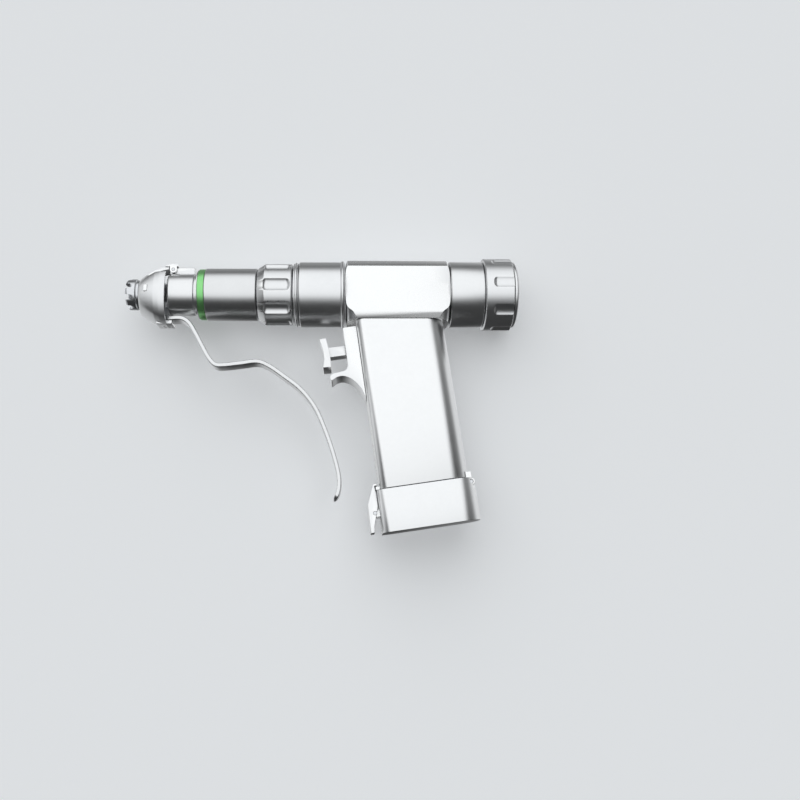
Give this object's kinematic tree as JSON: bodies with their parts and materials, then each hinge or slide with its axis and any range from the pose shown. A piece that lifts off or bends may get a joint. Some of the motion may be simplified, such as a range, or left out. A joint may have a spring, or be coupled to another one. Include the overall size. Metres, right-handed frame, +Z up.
{
  "type": "surgical power drill",
  "caption": "Cordless cannulated surgical drill with pistol grip, hinged battery cover, fluted lock collar and a wire-driver attachment worked by a long squeeze lever.",
  "frame": {"origin": "centre line of the grip on the flat base of the closed battery cover, on which the drill stands", "axes": "+Z up along the grip, nose towards -X with the barrel tilted 7.4 degrees nose up, Y across the drill's plane of symmetry"},
  "size_m": [0.2283, 0.0422, 0.1719],
  "materials": {
    "satin_alloy": "satin, bead blasted",
    "polished_steel": "fine turned",
    "green_anodised": "anodised green",
    "winding_copper": "varnished copper windings",
    "magnet_nickel": "nickel plated magnet",
    "circuit_board": "solder mask green",
    "dark_plastic": "moulded matte black",
    "contact_brass": "bright",
    "battery_wrap": "dark blue wrapped cell pack, satin",
    "seal_rubber": "matte"
  },
  "bodies": {
    "drill": {"housing_block": "satin_alloy", "front_barrel": "satin_alloy", "rear_barrel": "satin_alloy", "rear_hub": "polished_steel", "rear_cap": "satin_alloy", "motor_stator": "winding_copper", "front_end_bell": "satin_alloy", "rear_end_bell": "satin_alloy", "motor_front_bearing": "polished_steel", "motor_rear_bearing": "polished_steel", "motor_sensor_board": "circuit_board", "ring_gear": "polished_steel", "coupling_socket": "polished_steel", "locating_pin": "polished_steel", "spindle_bearing": "polished_steel", "stop_ring": "satin_alloy", "collar_spring": "polished_steel", "collar_retainer": "polished_steel", "grip_shell": "satin_alloy", "battery_pack": "battery_wrap", "contact_block": "dark_plastic", "contact_blade_1": "contact_brass", "contact_blade_2": "contact_brass", "control_board": "circuit_board", "switch_module": "dark_plastic", "trigger_housing": "satin_alloy", "trigger_bush": "dark_plastic", "trigger_spring": "polished_steel", "cover_hinge_pin": "polished_steel"},
    "trigger": {"trigger": "satin_alloy"},
    "output": {"planet_carrier": "polished_steel", "output_spindle": "polished_steel"},
    "rotor": {"motor_shaft": "polished_steel", "rotor_magnet": "magnet_nickel", "sun_pinion": "polished_steel"},
    "planet_1": {"planet_gear_1": "polished_steel"},
    "planet_2": {"planet_gear_2": "polished_steel"},
    "planet_3": {"planet_gear_3": "polished_steel"},
    "selector": {"selector_ring": "satin_alloy"},
    "collar": {"lock_collar": "satin_alloy"},
    "attachment": {"spigot": "polished_steel", "attachment_sleeve": "satin_alloy", "colour_ring": "green_anodised", "attachment_neck": "satin_alloy", "attachment_rear_bearing": "polished_steel", "attachment_front_bearing": "polished_steel", "lever_return_spring": "polished_steel", "lever_pivot_pin": "polished_steel"},
    "drive": {"drive_shaft": "polished_steel", "collet": "polished_steel", "crown_nut": "polished_steel"},
    "collet_closer": {"collet_sleeve": "polished_steel"},
    "lever": {"lever_yoke": "satin_alloy", "squeeze_lever": "satin_alloy", "lever_rivet_1": "polished_steel", "lever_rivet_2": "polished_steel"},
    "cover": {"battery_cover": "satin_alloy", "battery_pad": "seal_rubber"},
    "latch": {"battery_latch": "satin_alloy", "latch_pin": "polished_steel"}
  },
  "joints": [
    {"name": "trigger_pull", "type": "slide", "parent": "drill", "child": "trigger", "axis": [1, 0, 0], "range_m": [0, 0.006], "stiffness_N_per_m": 700, "springref_m": -0.004, "deforming": ["trigger_spring"]},
    {"name": "output_spin", "type": "hinge", "parent": "drill", "child": "output", "pos_m": [-0.04562, 0, 0.14392], "axis": [-0.9917, 0, 0.1288], "continuous": true},
    {"name": "rotor_spin", "type": "hinge", "parent": "drill", "child": "rotor", "pos_m": [0, 0, 0.138], "axis": [-0.9917, 0, 0.1288], "continuous": true},
    {"name": "planet_1_spin", "type": "hinge", "parent": "output", "child": "planet_1", "pos_m": [-0.03643, 0, 0.15256], "axis": [-0.9917, 0, 0.1288], "continuous": true},
    {"name": "planet_2_spin", "type": "hinge", "parent": "output", "child": "planet_2", "pos_m": [-0.03831, 0.00844, 0.13806], "axis": [-0.9917, 0, 0.1288], "continuous": true},
    {"name": "planet_3_spin", "type": "hinge", "parent": "output", "child": "planet_3", "pos_m": [-0.03831, -0.00844, 0.13806], "axis": [-0.9917, 0, 0.1288], "continuous": true},
    {"name": "drive_spin", "type": "hinge", "parent": "attachment", "child": "drive", "pos_m": [-0.09917, 0, 0.15088], "axis": [-0.9917, 0, 0.1288], "continuous": true},
    {"name": "attachment_draw", "type": "slide", "parent": "drill", "child": "attachment", "axis": [-0.9917, 0, 0.1288], "range_m": [0, 0.034]},
    {"name": "collar_turn", "type": "hinge", "parent": "drill", "child": "collar", "pos_m": [-0.06842, 0, 0.14689], "axis": [-0.9917, 0, 0.1288], "range_deg": [0, 30], "stiffness_Nm_per_rad": 0.4, "springref_deg": -11.46},
    {"name": "selector_turn", "type": "hinge", "parent": "drill", "child": "selector", "pos_m": [0.06248, 0, 0.12989], "axis": [-0.9917, 0, 0.1288], "range_deg": [-30, 30]},
    {"name": "lever_squeeze", "type": "hinge", "parent": "attachment", "child": "lever", "pos_m": [-0.12576, 0, 0.16815], "axis": [0, -1, 0], "range_deg": [0, 7], "stiffness_Nm_per_rad": 10, "springref_deg": -4.58},
    {"name": "collet_close", "type": "slide", "parent": "drive", "child": "collet_closer", "axis": [0.9917, 0, -0.1288], "range_m": [0, 0.0017], "deforming": ["lever_return_spring"]},
    {"name": "cover_open", "type": "hinge", "parent": "drill", "child": "cover", "pos_m": [0.0262, 0, 0.0214], "axis": [0, -1, 0], "range_deg": [0, 100]},
    {"name": "latch_press", "type": "hinge", "parent": "cover", "child": "latch", "pos_m": [-0.0294, 0, 0.0116], "axis": [0, -1, 0], "range_deg": [0, 9], "stiffness_Nm_per_rad": 0.3, "springref_deg": -8.59}
  ],
  "couplings": [
    {"joint": "rotor_spin", "follows": "output_spin", "ratio": 3.3333},
    {"joint": "planet_1_spin", "follows": "output_spin", "ratio": -3.5},
    {"joint": "planet_2_spin", "follows": "output_spin", "ratio": -3.5},
    {"joint": "planet_3_spin", "follows": "output_spin", "ratio": -3.5},
    {"joint": "drive_spin", "follows": "output_spin", "ratio": 1},
    {"joint": "collet_close", "follows": "lever_squeeze", "m_per_rad": 0.0137}
  ]
}
